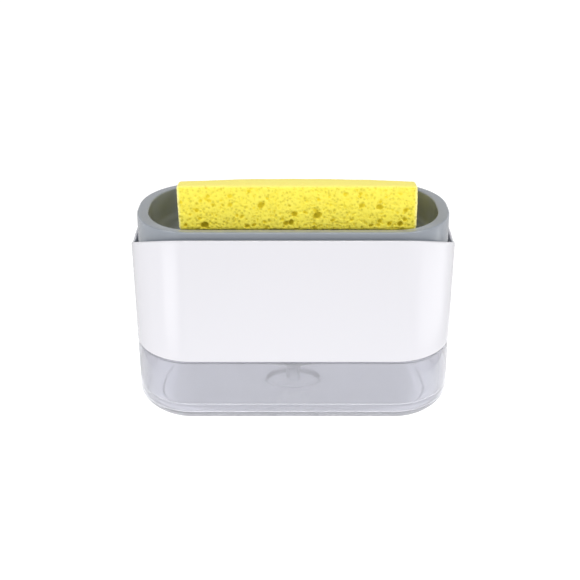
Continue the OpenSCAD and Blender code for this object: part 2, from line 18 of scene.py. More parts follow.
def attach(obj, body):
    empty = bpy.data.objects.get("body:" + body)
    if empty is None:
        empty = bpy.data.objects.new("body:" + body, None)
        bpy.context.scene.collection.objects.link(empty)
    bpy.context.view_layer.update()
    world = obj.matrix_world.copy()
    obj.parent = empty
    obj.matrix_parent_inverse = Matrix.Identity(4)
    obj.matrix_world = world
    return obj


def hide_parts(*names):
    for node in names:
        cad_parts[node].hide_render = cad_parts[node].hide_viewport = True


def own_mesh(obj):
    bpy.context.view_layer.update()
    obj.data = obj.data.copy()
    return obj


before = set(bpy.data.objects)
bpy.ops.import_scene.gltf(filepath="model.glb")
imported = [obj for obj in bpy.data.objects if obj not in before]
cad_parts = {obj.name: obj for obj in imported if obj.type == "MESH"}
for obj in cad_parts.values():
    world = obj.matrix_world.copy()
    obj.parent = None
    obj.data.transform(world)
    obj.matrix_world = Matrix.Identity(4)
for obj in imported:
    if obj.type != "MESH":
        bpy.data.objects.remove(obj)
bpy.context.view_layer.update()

MM = 0.001
print("nodes:", ", ".join(sorted(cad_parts)))

# %% [markdown]
# ## Camera
#
# The camera comes first, because every later choice is judged through it. A long lens a good
# half metre away gives the flat perspective of a catalogue picture. The lens is worked out from
# the picture's focal length in pixels, and a small shift puts the optical centre where it was.

# %% Camera
PICTURE_PX = 580
FOCAL_PX = 1532
CENTRE_PX = (293.2, 283.66)
SENSOR_MM = 36
LOOK_AT = Vector((0, 0, 45)) * MM
DISTANCE = 649 * MM
RISE = math.radians(17.157)

lens = bpy.data.cameras.new("camera")
lens.sensor_width = SENSOR_MM
lens.lens = FOCAL_PX / PICTURE_PX * SENSOR_MM
lens.shift_x = (PICTURE_PX / 2 - CENTRE_PX[0]) / PICTURE_PX
lens.shift_y = (CENTRE_PX[1] - PICTURE_PX / 2) / PICTURE_PX
lens.clip_start = 10 * MM
camera = bpy.data.objects.new("camera", lens)
bpy.context.scene.collection.objects.link(camera)
camera.location = LOOK_AT + DISTANCE * Vector((0, -math.cos(RISE), math.sin(RISE)))
camera.rotation_euler = (math.pi / 2 - RISE, 0, 0)
bpy.context.scene.camera = camera
print(f"lens {lens.lens:.1f} mm at {DISTANCE:.3f} m")

# %% [markdown]
# ## Values that vary over a surface
#
# Shader maths is easier to read as sums than as a web of nodes. This small class stands for a
# number that changes over a surface, and each sum on it adds the Math node that it needs.


# %% Values
class Value:
    """A socket whose sums and products add Math nodes to its tree."""

    def __init__(self, nodes, socket):
        self.nodes = nodes
        self.socket = socket

    def _math(self, operation, *terms):
        return self.nodes.node("ShaderNodeMath", {"operation": operation}, dict(enumerate(terms)))

    def __add__(self, other):
        return self._math("ADD", self, other)

    def __sub__(self, other):
        return self._math("SUBTRACT", self, other)

    def __rsub__(self, other):
        return self._math("SUBTRACT", other, self)

    def __mul__(self, other):
        return self._math("MULTIPLY", self, other)

    __radd__ = __add__
    __rmul__ = __mul__


# %% [markdown]
# ## Node trees and finishes
#
# A surface and the surround are both trees of nodes, so one class fills either of them. A finish
# adds what only a material has: its shader, a place on the surface, cloudy noise and relief.


# %% Node trees
class Nodes:
    """A node tree that is filled by plain calls."""

    def __init__(self, tree):
        self.tree = tree

    def node(self, kind, settings=None, inputs=None, output=0):
        """Adds a node, sets it up, fills its sockets and gives one output back."""
        made = self.tree.nodes.new(kind)
        for key, value in (settings or {}).items():
            if key == "stops":
                self.set_stops(made.color_ramp, value)
            else:
                setattr(made, key, value)
        for socket, value in (inputs or {}).items():
            self.fill(made.inputs[socket], value)
        return Value(self, made.outputs[output])

    def set_stops(self, ramp, stops):
        while len(ramp.elements) < len(stops):
            ramp.elements.new(1)
        for element, (place, tint) in zip(ramp.elements, stops):
            element.position = place
            element.color = (*tint, 1)

    def fill(self, socket, value):
        if isinstance(value, Value):
            self.tree.links.new(value.socket, socket)
        else:
            socket.default_value = value

    def mix(self, factor, first, second, blend="MIX"):
        """Colour first where factor is 0, and second where it is 1."""
        return self.node("ShaderNodeMix", {"data_type": "RGBA", "blend_type": blend},
                         {0: factor, 6: first, 7: second}, output=2)


# %% Finishes
class Finish(Nodes):
    """A material: constants on the shader itself, and nodes for what varies."""

    def __init__(self, name, **constants):
        self.material = bpy.data.materials.new(name)
        self.material.use_nodes = True
        super().__init__(self.material.node_tree)
        self.shader = self.tree.nodes["Principled BSDF"]
        for socket, value in constants.items():
            self.shader.inputs[socket.replace("_", " ")].default_value = value

    def feed(self, socket, value):
        self.fill(self.shader.inputs[socket], value)

    def place(self):
        """Where a point of the surface lies, in metres."""
        return self.node("ShaderNodeTexCoord", output="Object")

    def grain(self, size, detail=2.0, stretch=(1, 1, 1)):
        """Cloudy noise from 0 to 1 whose patches are about this size."""
        spread = self.node("ShaderNodeMapping", None, {"Vector": self.place(), "Scale": stretch})
        return self.node("ShaderNodeTexNoise", None,
                         {"Vector": spread, "Scale": 1 / size, "Detail": detail})

    def emboss(self, height, depth, strength=1.0):
        """Small relief, where height 1 stands this many metres above height 0."""
        self.feed("Normal", self.node("ShaderNodeBump", None,
                                      {"Strength": strength, "Distance": depth, "Height": height}))

    def wander(self, low, spread, size, **grain):
        """Roughness that wanders from low upwards, in patches of about this size."""
        self.feed("Roughness", low + spread * self.grain(size, **grain))

    def report(self):
        print(f"{self.material.name}: {len(self.tree.nodes)} nodes")


def colour(red, green, blue):
    return (red, green, blue, 1)


# %% [markdown]
# ## Studio
#
# The picture was lit from all round, by a white surround over a lit white table. The surround is
# brightest at the horizon and dims overhead, so that upright walls are light and the inside of
# the tray stays dark. That part is a world shader, a sum on the direction of view.

# %% Surround
HORIZON_LIGHT = 0.75
ZENITH_LIGHT = 0.2

scene = bpy.context.scene
scene.view_settings.view_transform = "Standard"
world = bpy.data.worlds.new("surround")
world.use_nodes = True
scene.world = world
sky = Nodes(world.node_tree)
direction = sky.node("ShaderNodeTexCoord", output="Generated")
height = sky.node("ShaderNodeSeparateXYZ", None, {0: direction}, output=2)
rising = sky.node("ShaderNodeMath", {"operation": "MAXIMUM"}, {0: height, 1: 0})
background = world.node_tree.nodes["Background"]
background.inputs["Color"].default_value = (1, 1, 1, 1)
sky.fill(background.inputs["Strength"], HORIZON_LIGHT - (HORIZON_LIGHT - ZENITH_LIGHT) * rising)
print(f"surround from {HORIZON_LIGHT} at the horizon to {ZENITH_LIGHT} overhead")

# %% [markdown]
# ## Lamps
#
# Two low panels stand close to the front corners, because the camera looks down, and a wall's
# mirror image would meet the table before a lamp further off. They draw the pale upright bands on
# the sleeve, the right one wider and fainter, and they show in gloss alone, or they would wash out
# the corners beside the bands. Two small boxes high on either side draw short streaks on the
# tray's rim, and a strip overhead draws thin lines along the rounded rims. Three broad boxes at
# half height fill the front and both ends and reach into the gaps. None shows to the camera.


# %% Lamps
def lamp(name, place, aim, size, radiance, gloss_only=False):
    """A rectangular lamp. Radiance 1 is as bright as white paper in this surround."""
    width, height = size
    data = bpy.data.lights.new(name, "AREA")
    data.shape = "RECTANGLE"
    data.size, data.size_y = width, height
    data.energy = radiance * math.pi * width * height
    made = bpy.data.objects.new(name, data)
    scene.collection.objects.link(made)
    made.location = place
    made.rotation_euler = (Vector(aim) - Vector(place)).to_track_quat("-Z", "Y").to_euler()
    made.visible_camera = False
    made.visible_diffuse = not gloss_only


PANEL_Z = 0.025
PANEL_TALL = 0.05
SIDES = (("left", -1), ("right", 1))

lamp("left_strip", (-0.11, -0.084, PANEL_Z), (0, 0, PANEL_Z), (0.054, PANEL_TALL), 1.65,
     gloss_only=True)
lamp("right_strip", (0.13, -0.018, PANEL_Z), (0, 0, PANEL_Z), (0.11, PANEL_TALL), 0.85,
     gloss_only=True)
lamp("top_strip", (0, -0.3, 0.9), LOOK_AT, (0.9, 0.2), 7.0, gloss_only=True)
for side_name, side in SIDES:
    lamp(side_name + "_box", (side * 0.54, 0.03, 0.8), LOOK_AT, (0.14, 0.14), 14.0)
lamp("front_fill", (0, -1.15, 0.65), LOOK_AT, (1.2, 0.6), 1.75)
for side_name, side in SIDES:
    lamp(side_name + "_fill", (side * 1.0, -0.25, 0.8), LOOK_AT, (0.8, 0.6), 3.25)

# %% [markdown]
# ## Floor
#
# The floor is only a stage. It is a lit table, opal plastic with light under it, so it glows, and
# shadows on it nearly vanish as they do in the picture. The glow is strongest in the middle, and
# weaker right under the tub, where an object always shades its table. A sum of fourth powers gives
# the tub's flattened oval: it passes 1 where the oval ends.

# %% Floor finish
MIDDLE_GLOW = 1.35
OUTER_GLOW = 1.02
TUB_SHADOW_GLOW = 0.82
FADE_FROM, FADE_TO = 60 * MM, 350 * MM
FOOTPRINT = (51.5 * MM, 36.5 * MM)
FOOT_INSIDE, FOOT_OUTSIDE = 0.81, 1.22


def gray_share(share):
    return colour(share, share, share)


table = Finish("lit_table", Roughness=0.9, Specular_IOR_Level=0.1, Emission_Strength=MIDDLE_GLOW)
table.feed("Base Color", table.mix(table.grain(30 * MM), gray_share(0.08), gray_share(0.1)))
from_middle = table.node("ShaderNodeVectorMath", {"operation": "LENGTH"}, {0: table.place()},
                         output="Value")
fading = table.node("ShaderNodeMapRange", {"interpolation_type": "SMOOTHSTEP"},
                    {"Value": from_middle, "From Min": FADE_FROM, "From Max": FADE_TO})
# Painted shadow of the tub: the glow dims inside its footprint.
footprint = table.node("ShaderNodeMapping", None, {
    "Vector": table.place(), "Scale": (1 / FOOTPRINT[0], 1 / FOOTPRINT[1], 0)})
along, across = (table.node("ShaderNodeSeparateXYZ", None, {0: footprint}, output=axis)
                 for axis in (0, 1))
from_foot = along * along * along * along + across * across * across * across
beside = table.node("ShaderNodeMapRange", {"interpolation_type": "SMOOTHSTEP"},
                    {"Value": from_foot, "From Min": FOOT_INSIDE, "From Max": FOOT_OUTSIDE})
glow = table.mix(fading, gray_share(1), gray_share(OUTER_GLOW / MIDDLE_GLOW))
table.feed("Emission Color", table.mix(beside, gray_share(TUB_SHADOW_GLOW / MIDDLE_GLOW), glow))
table.report()

# %% [markdown]
# ### Floor sheet
#
# The floor is one large face, a hair below the tub's foot, because two faces at the same height
# would flicker. The gray cards are such faces too, so one helper makes both.

# %% Floor sheet
FLOOR_HALF = 3.0
FLOOR_DROP = 0.05 * MM


def show(name, mesh, finish):
    """Puts a mesh into the scene in its finish."""
    mesh.materials.append(finish.material)
    made = bpy.data.objects.new(name, mesh)
    scene.collection.objects.link(made)
    return made


def flat_sheet(name, start, end, height, finish):
    """One level face between two opposite corners, each an X and a Y in metres."""
    corners = [start, (end[0], start[1]), end, (start[0], end[1])]
    mesh = bpy.data.meshes.new(name)
    mesh.from_pydata([(x, y, height) for x, y in corners], [], [(0, 1, 2, 3)])
    return show(name, mesh, finish)


floor = flat_sheet("floor", (-FLOOR_HALF, -FLOOR_HALF), (FLOOR_HALF, FLOOR_HALF), -FLOOR_DROP,
                   table)
print(f"floor {2 * FLOOR_HALF} m across")

# %% [markdown]
# ## Gray cards
#
# On an all-white table a white object loses its edges, because its turned-away faces mirror the
# white beside it. A photographer lays a gray card on either side, and the ends of the tub, the
# sleeve and the tray then mirror those. The strip next to the tub is a thin, nearly white paper
# that the table shines through a little, more so on the right. The cards show in gloss and through
# clear pieces, and not to the camera, so they can lie right beside the tub.

# %% Gray cards
CARD_NEAR, CARD_JOIN, CARD_FAR = 0.0725, 0.1, 0.5
CARD_FRONT, CARD_BACK = -0.14, 0.45
CARD_LIFT = 1 * MM
NEAR_SHADE, FAR_SHADE = 0.92, 0.72
LIT_THROUGH = {"left": 0.1, "right": 0.35}
FLECK = 0.02


def gray_card(name, near, far, shade, lit_through=0.0):
    """A sheet of paper from one X to another, flat above the table, which shines through it."""
    paper = Finish(name + "_paper", Roughness=0.8, Emission_Color=gray_share(1),
                   Emission_Strength=lit_through)
    paper.feed("Base Color", paper.mix(paper.grain(20 * MM), gray_share(shade - FLECK),
                                       gray_share(shade + FLECK)))
    card = flat_sheet(name, (near, CARD_FRONT), (far, CARD_BACK), CARD_LIFT, paper)
    card.visible_camera = False
    card.visible_diffuse = False


for side_name, side in SIDES:
    gray_card(side_name + "_near_card", side * CARD_NEAR, side * CARD_JOIN, NEAR_SHADE,
              LIT_THROUGH[side_name])
    gray_card(side_name + "_card", side * CARD_JOIN, side * CARD_FAR, FAR_SHADE)
print("cards from", CARD_NEAR, "to", CARD_FAR, "m on either side")

# %% [markdown]
# ## The plan outline
#
# The tub, the sleeve and the tray share one outline: a straight front and back, and long round
# corners like a quarter of an ellipse, with only a short straight run at each end. Each shell is
# a stack of rings, and each ring is this outline moved in by some amount, so the outline is kept
# as points with outward directions. All of the shape code is in millimetres.

# %% The plan outline
PLAN_W = 135
PLAN_D = 90
CORNER_ACROSS = 26.5
CORNER_DEEP = 41
QUARTER = 60
CORNER_STEPS = 400


def quarter_outline():
    """Points and outward directions from +X to +Y, evenly spaced, with both ends."""
    turn = np.linspace(math.pi / 2, 0, CORNER_STEPS)
    corner_x = PLAN_W / 2 - CORNER_ACROSS * (1 - np.sin(turn))
    corner_y = PLAN_D / 2 - CORNER_DEEP * (1 - np.cos(turn))
    x = np.concatenate([[PLAN_W / 2], corner_x, [0]])
    y = np.concatenate([[0], corner_y, [PLAN_D / 2]])
    out_x = np.concatenate([[1], CORNER_DEEP * np.sin(turn), [0]])
    out_y = np.concatenate([[0], CORNER_ACROSS * np.cos(turn), [1]])
    length = np.hypot(out_x, out_y)
    along = np.concatenate([[0], np.cumsum(np.hypot(np.diff(x), np.diff(y)))])
    at = np.linspace(0, along[-1], QUARTER + 1)
    out = np.column_stack([np.interp(at, along, out_x / length),
                           np.interp(at, along, out_y / length)])
    out /= np.linalg.norm(out, axis=1)[:, None]
    return np.column_stack([np.interp(at, along, x), np.interp(at, along, y)]), out


def all_round(quarter):
    """The quarter, mirrored into the whole loop, anticlockwise."""
    flip_x, flip_y = np.array([-1, 1]), np.array([1, -1])
    return np.concatenate([quarter[:-1], (quarter * flip_x)[:0:-1],
                           (quarter * -1)[:-1], (quarter * flip_y)[:0:-1]])


EDGE, OUT = (all_round(part) for part in quarter_outline())
BEARING = np.arctan2(EDGE[:, 1], EDGE[:, 0])
AROUND = len(EDGE)
print(f"outline of {AROUND} points, {np.ptp(EDGE[:, 0]):.1f} x {np.ptp(EDGE[:, 1]):.1f} mm")

# %% [markdown]
# ## Rings and skins
#
# A ring is the outline moved in, or a circle, at a height. A skin over a stack of rings makes a
# shell, and because every ring has the same number of points, a flat floor can run from the
# outline to a round hole without any cutting. A few rings in between keep its faces short, and a
# floor that isn't bored ends in a ring the size of a pinhead.

# %% Rings
FLOOR_RINGS = 4
PIN_R = 0.3


def plan_rings(profile):
    """The outline, moved in by each inset of a profile, at its height."""
    return [np.column_stack([EDGE - inset * OUT, np.full(AROUND, float(height))])
            for inset, height in profile]


def round_rings(profile):
    """A circle for each radius of a profile, at its height."""
    return [np.column_stack([radius * np.cos(BEARING), radius * np.sin(BEARING),
                             np.full(AROUND, float(height))]) for radius, height in profile]


def between(first, last, steps=FLOOR_RINGS):
    """Rings strictly between two rings."""
    return [first + (last - first) * i / (steps + 1) for i in range(1, steps + 1)]


# %% [markdown]
# ### Profiles
#
# A profile is the line that a wall follows, as pairs of a distance in and a height. Its corners
# get true arcs, because the small radius on an edge catches the light on moulded plastic. An arc
# needs a straight run on either side, so a profile starts a few millimetres along a flat floor.

# %% Profiles
TINY_ROUND, FINE_ROUND, SMALL_ROUND = 0.2, 0.3, 0.5
SHORT_RUN, RUN, LONG_RUN = 2, 3, 4


def arc(centre, reach, start, end, steps):
    """Points of an elliptic arc about a centre, with its angles in degrees."""
    angles = np.radians(np.linspace(start, end, steps + 1))
    return [(centre[0] + reach[0] * math.cos(a), centre[1] + reach[1] * math.sin(a))
            for a in angles]


def rounded(corners, steps=5):
    """A line through the corners. A corner's third number is the radius that rounds it."""
    line = []
    for i, corner in enumerate(corners):
        if len(corner) < 3:
            line.append(tuple(corner))
            continue
        here = np.array(corner[:2], float)
        back = np.array(corners[i - 1][:2]) - here
        ahead = np.array(corners[i + 1][:2]) - here
        back, ahead = back / np.linalg.norm(back), ahead / np.linalg.norm(ahead)
        half = math.acos(np.clip(back @ ahead, -1, 1)) / 2
        centre = here + (back + ahead) / np.linalg.norm(back + ahead) * corner[2] / math.sin(half)
        start = here + back * corner[2] / math.tan(half) - centre
        sweep_angle = math.copysign(math.pi - 2 * half, back[1] * ahead[0] - back[0] * ahead[1])
        for a in np.linspace(0, sweep_angle, steps + 1):
            turned = (start[0] * math.cos(a) - start[1] * math.sin(a),
                      start[0] * math.sin(a) + start[1] * math.cos(a))
            line.append((centre[0] + turned[0], centre[1] + turned[1]))
    return line


# %% [markdown]
# ### Pieces and skins
#
# Every piece is shaded smooth. Weighted normals let large flat faces keep their own direction,
# so only the rounded edges shade as round.


# %% Pieces and skins
def piece(name, points, faces, finish):
    """A smooth-shaded mesh object from points in millimetres."""
    mesh = bpy.data.meshes.new(name)
    mesh.from_pydata((np.asarray(points) * MM).tolist(), [], faces)
    work = bmesh.new()
    work.from_mesh(mesh)
    bmesh.ops.recalc_face_normals(work, faces=work.faces)
    work.to_mesh(mesh)
    work.free()
    mesh.shade_smooth()
    return show(name, mesh, finish)


def even_shading(made):
    """Weights the shading by the size of the faces."""
    weighted = made.modifiers.new("even_shading", "WEIGHTED_NORMAL")
    weighted.keep_sharp = True
    return made


def skin(name, stack, finish, closed_loop=False):
    """A shell over a stack of rings, closed by its two end faces or joined into a loop."""
    n, m = AROUND, len(stack)
    rows = range(m if closed_loop else m - 1)
    faces = [(r * n + k, r * n + (k + 1) % n, (r + 1) % m * n + (k + 1) % n, (r + 1) % m * n + k)
             for r in rows for k in range(n)]
    if not closed_loop:
        faces += [tuple(range(n)), tuple(range((m - 1) * n, m * n))]
    made = even_shading(piece(name, np.concatenate(stack), faces, finish))
    print(f"{name}: {m} rings, {len(faces)} faces")
    return made


# %% [markdown]
# ## Clear plastic
#
# The tub is a clear moulding with walls about two millimetres thick. The shader bends the view
# through it, so the wall needs an inner and an outer face. A slight blue-gray tint stands for
# the plastic's own colour, and a faint waviness bends the reflections as a moulded wall does.

# %% Clear plastic
clear = Finish("clear_plastic", Base_Color=colour(0.81, 0.815, 0.87), IOR=1.49,
               Transmission_Weight=0.78)
clear.wander(0.05, 0.06, 8 * MM)
clear.emboss(clear.grain(14 * MM, detail=1.0), 0.12 * MM, strength=0.5)
clear.report()

# %% [markdown]
# ## Reservoir
#
# The tub stands on a foot ring round a recessed floor. Its wall rises from a soft elliptic foot,
# ends in the ledge that carries the sleeve, and goes on as a neck inside the sleeve. In clear
# plastic each curve bends the light under it, so the tight inner corner, the thin floor and a
# small bead inside the wall make the fine light and dark lines along the tub's lower edge. A
# round well under the suction tube collects the last of the soap. All of it is one skin.

# %% Reservoir
LEDGE_Z = 25.2
TANK_INSET = 2
TANK_WALL = 2.2
NECK_INSET = 4.05
NECK_WALL = 2
NECK_TOP_Z = 37.2
FOOT_IN, FOOT_UP = 5.75, 5
FOOT_RING_W = 4
RECESS_Z = 0.8
FLOOR_Z = 3.25
INNER_ROUND = 1
INNER_BEAD_Z = 6.3
INNER_BEAD_W = 1.5
INNER_BEAD_H = 0.4
WELL_R = 11.3
WELL_Z = 2
WELL_WALL = 1.2
GROOVE_Z = 30
GROOVE_W = 1.8
GROOVE_DEPTH = 0.9
WALL_DRAFT = 0.3
LEDGE_TH = 0.9
LEDGE_SLOPE = 0.3
WELL_BEAD_W = 1.2
WELL_BEAD_H = 0.5
WELL_BEAD_ROUND = 0.4
WELL_BEAD_DRAFT = 0.2
WELL_DRAFT = 0.3
WELL_ROUND = 1
MID_WALL_SHARE = 0.6
FOOT_STEPS, BEND_STEPS, BEAD_POINTS = 16, 12, 13


def tub_underside():
    """From the middle of the recess out to the foot ring."""
    foot_in = TANK_INSET + FOOT_IN + FOOT_RING_W
    well = round_rings([(PIN_R, RECESS_Z), (WELL_R + WELL_WALL, RECESS_Z)])
    foot = plan_rings(rounded([
        (foot_in + SHORT_RUN, RECESS_Z), (foot_in, RECESS_Z, SMALL_ROUND),
        (foot_in - SMALL_ROUND, 0, FINE_ROUND), (foot_in - FOOT_RING_W / 2, 0)]))
    return well + between(well[-1], foot[0]) + foot


def tub_outside():
    """Up the wall to the ledge, over the neck with its groove, and down inside it."""
    foot = TANK_INSET + FOOT_IN
    wall = arc((foot + WALL_DRAFT, FOOT_UP), (-FOOT_IN, FOOT_UP), -90, 0, FOOT_STEPS)
    groove_in, groove_top = NECK_INSET + GROOVE_DEPTH, GROOVE_Z + GROOVE_W
    neck_in, tank_in, ledge_low = NECK_INSET + NECK_WALL, TANK_INSET + TANK_WALL, LEDGE_Z - LEDGE_TH
    shoulder = rounded([
        (TANK_INSET + WALL_DRAFT / 2, LEDGE_Z * MID_WALL_SHARE),
        (TANK_INSET, LEDGE_Z, SMALL_ROUND), (NECK_INSET, LEDGE_Z, FINE_ROUND),
        (NECK_INSET, GROOVE_Z, TINY_ROUND), (groove_in, GROOVE_Z, TINY_ROUND),
        (groove_in, groove_top, TINY_ROUND), (NECK_INSET, groove_top, TINY_ROUND),
        (NECK_INSET, NECK_TOP_Z, SMALL_ROUND), (neck_in, NECK_TOP_Z, SMALL_ROUND),
        (neck_in, ledge_low, SMALL_ROUND), (tank_in, ledge_low - LEDGE_SLOPE, SMALL_ROUND),
        (tank_in, INNER_BEAD_Z + RUN)])
    return plan_rings(wall + shoulder)


def tub_inside():
    """Down the wall over the small bead, round the corner, over the floor and into the well."""
    inner = TANK_INSET + TANK_WALL
    bead = [(inner + INNER_BEAD_H * (0.5 + 0.5 * math.cos(math.pi * share)),
             INNER_BEAD_Z - INNER_BEAD_W / 2 * share) for share in np.linspace(-1, 1, BEAD_POINTS)]
    bend = arc((inner + INNER_ROUND, FLOOR_Z + INNER_ROUND), (-INNER_ROUND, INNER_ROUND),
               0, -90, BEND_STEPS)
    bead_out, bead_top = WELL_R + WELL_BEAD_W, FLOOR_Z + WELL_BEAD_H
    floor_edge = plan_rings(bead + bend)
    well = round_rings(rounded([
        (WELL_R + RUN, FLOOR_Z), (bead_out, FLOOR_Z, TINY_ROUND),
        (bead_out - WELL_BEAD_DRAFT, bead_top, FINE_ROUND), (WELL_R, bead_top, WELL_BEAD_ROUND),
        (WELL_R - WELL_DRAFT, WELL_Z, WELL_ROUND), (PIN_R, WELL_Z)]))
    return floor_edge + between(floor_edge[-1], well[0]) + well


reservoir = skin("clear_reservoir", tub_underside() + tub_outside() + tub_inside(), clear)
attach(reservoir, "base")
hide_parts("reservoir")

# %% [markdown]
# ## Seal ring
#
# A soft ring lies in the neck's groove and swells out of it a little, so that the sleeve grips
# it. The working model's ring is a coarse prism, and a rounded ring takes its place.

# %% Seal ring
SEAL_PROUD = 0.15
SEAL_GAP = 0.1
SEAL_OUT_ROUND = 0.7
SEAL_IN_ROUND = 0.1
SEAL_SEAM = 0.1

silicone = Finish("clear_silicone", Base_Color=colour(0.8, 0.8, 0.81), Transmission_Weight=0.3)
silicone.wander(0.45, 0.15, 1 * MM)

seal_in, seal_out = NECK_INSET + GROOVE_DEPTH - SEAL_GAP, NECK_INSET - SEAL_PROUD
seal_low, seal_high = GROOVE_Z + SEAL_GAP, GROOVE_Z + GROOVE_W - SEAL_GAP
seal_mid = (seal_low + seal_high) / 2
seal_line = rounded([(seal_in, seal_mid), (seal_in, seal_low, SEAL_IN_ROUND),
                     (seal_out, seal_low, SEAL_OUT_ROUND), (seal_out, seal_high, SEAL_OUT_ROUND),
                     (seal_in, seal_high, SEAL_IN_ROUND), (seal_in, seal_mid + SEAL_SEAM)])
seal_ring = skin("seal_ring", plan_rings(seal_line), silicone, closed_loop=True)
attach(seal_ring, "base")
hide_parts("reservoir_seal")

# %% [markdown]
# ## White plastic
#
# The sleeve is glossy white moulded plastic. It is a shade under pure white, and a little blue,
# so that the lamps can still leave lighter bands on it. A trace of roughness variation and a very
# faint orange peel keep the reflections from looking like a mirror's.

# %% White plastic
white = Finish("white_gloss_plastic", Base_Color=colour(0.71, 0.703, 0.742), IOR=1.5)
white.wander(0.2, 0.04, 9 * MM)
white.emboss(white.grain(1.2 * MM, detail=1.0), 0.003 * MM, strength=0.5)
white.report()

# %% [markdown]
# ## Sleeve
#
# The sleeve leans out slightly as it rises. Its rim falls from the front and the back to a dip
# in the middle of each end, so each rim ring takes its height from its own Y. The wall thins
# towards the rim, as a moulded edge does, and ends in two small radii.

# %% Sleeve rim and foot
SLEEVE_FOOT_Z = 25.4
RIM_Z = 76.2
SLEEVE_WALL = 2
RIM_WALL = 1.25
RIM_THIN_FROM = 7
RIM_CORNERS = (0.7, 0.5)
FOOT_CORNERS = (0.3, 0.45)
SLEEVE_DRAFT = 1.7
RIM_SCOOP = 11.4
SCOOP_ROUND = 9


def sleeve_in(height):
    return SLEEVE_DRAFT * (RIM_Z - height) / (RIM_Z - SLEEVE_FOOT_Z)


def reach_from_middle(y):
    """Distance from the middle of the scoop, rounded off near it."""
    return np.sqrt(y ** 2 + SCOOP_ROUND ** 2) - SCOOP_ROUND


def rim_ring(inside, drop):
    """A ring on the rim: this far in from the outer skin and this far below the top edge."""
    share = reach_from_middle(EDGE[:, 1]) / reach_from_middle(PLAN_D / 2)
    height = RIM_Z - RIM_SCOOP * (1 - share) - drop
    inset = (sleeve_in(height) + inside)[:, None]
    return np.column_stack([EDGE - inset * OUT, height])


def sleeve_rim():
    """Over the rim, from the outer skin to the inner one."""
    across = rounded([(0, -LONG_RUN), (0, 0, RIM_CORNERS[0]), (RIM_WALL, 0, RIM_CORNERS[1]),
                      (SLEEVE_WALL, -RIM_THIN_FROM)], steps=6)
    return [rim_ring(inside, -height) for inside, height in across]


def sleeve_foot():
    """Round the lower edge, from the inner skin to the outer one."""
    low = sleeve_in(SLEEVE_FOOT_Z)
    inside = low + SLEEVE_WALL
    return plan_rings(rounded([
        (inside, SLEEVE_FOOT_Z + RUN), (inside, SLEEVE_FOOT_Z, FOOT_CORNERS[0]),
        (low, SLEEVE_FOOT_Z, FOOT_CORNERS[1]), (low, SLEEVE_FOOT_Z + RUN)]))


foot_rings, rim_rings = sleeve_foot(), sleeve_rim()
print(f"rim from {RIM_Z - RIM_SCOOP:.1f} mm at the ends to {RIM_Z} mm in the middle")

# %% [markdown]
# ### Deck and neck
#
# The deck runs across the sleeve and carries the pump's neck, with two ridges for the collar's
# thread. Sleeve, deck and neck are one moulding, so they are one skin that closes on itself.

# %% Deck and neck
DECK_Z = 40.5
DECK_TH = 2.2
DECK_ROUND = 1
PUMP_NECK_IN = 8.05
PUMP_NECK_OUT = 12.55
PUMP_NECK_Z = 46.5
PUMP_NECK_ROUND = 0.4
THREAD_H = 0.6
THREAD_W = 1
THREAD_ROUND = 0.15
THREAD_LIFTS = (1.2, 3.6)
WALL_RINGS = 5


def deck_and_neck():
    """From the sleeve's inner skin over the deck and neck, down the bore and back under."""
    edge, deck_low = sleeve_in(DECK_Z) + SLEEVE_WALL, DECK_Z - DECK_TH
    top = plan_rings(rounded([
        (edge, DECK_Z + LONG_RUN), (edge, DECK_Z, DECK_ROUND), (edge + RUN, DECK_Z)]))
    thread = [(PUMP_NECK_OUT + out, DECK_Z + lift + up, THREAD_ROUND) for lift in THREAD_LIFTS
              for out, up in ((0, 0), (THREAD_H, THREAD_W / 3), (THREAD_H, 2 * THREAD_W / 3),
                              (0, THREAD_W))]
    neck = round_rings(rounded([
        (PUMP_NECK_OUT + SHORT_RUN, DECK_Z), (PUMP_NECK_OUT, DECK_Z, SMALL_ROUND), *thread,
        (PUMP_NECK_OUT, PUMP_NECK_Z, PUMP_NECK_ROUND), (PUMP_NECK_IN, PUMP_NECK_Z, FINE_ROUND),
        (PUMP_NECK_IN, deck_low, FINE_ROUND), (PUMP_NECK_OUT, deck_low)]))
    low = sleeve_in(deck_low) + SLEEVE_WALL
    under = plan_rings(rounded([
        (low + RUN, deck_low), (low, deck_low, DECK_ROUND), (low, deck_low - LONG_RUN)]))
    return top + between(top[-1], neck[0]) + neck + between(neck[-1], under[0]) + under


sleeve = skin("white_sleeve", foot_rings + between(foot_rings[-1], rim_rings[0], WALL_RINGS)
              + rim_rings + deck_and_neck(), white, closed_loop=True)
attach(sleeve, "top")
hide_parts("housing")

# %% [markdown]
# ### Deck ribs
#
# Four ribs stiffen the deck from below, and four more the tray's floor later on. They run across
# the rings of the skin, so they are bars of their own, sunk a little into it.

# %% Deck ribs
DECK_RIB = {"width": 1.6, "depth": 3.5, "reach": (58.4, 35.9)}
RIB_SUNK = 1
RIB_START_IN = 0.5
RIB_ROUND = 0.25 * MM


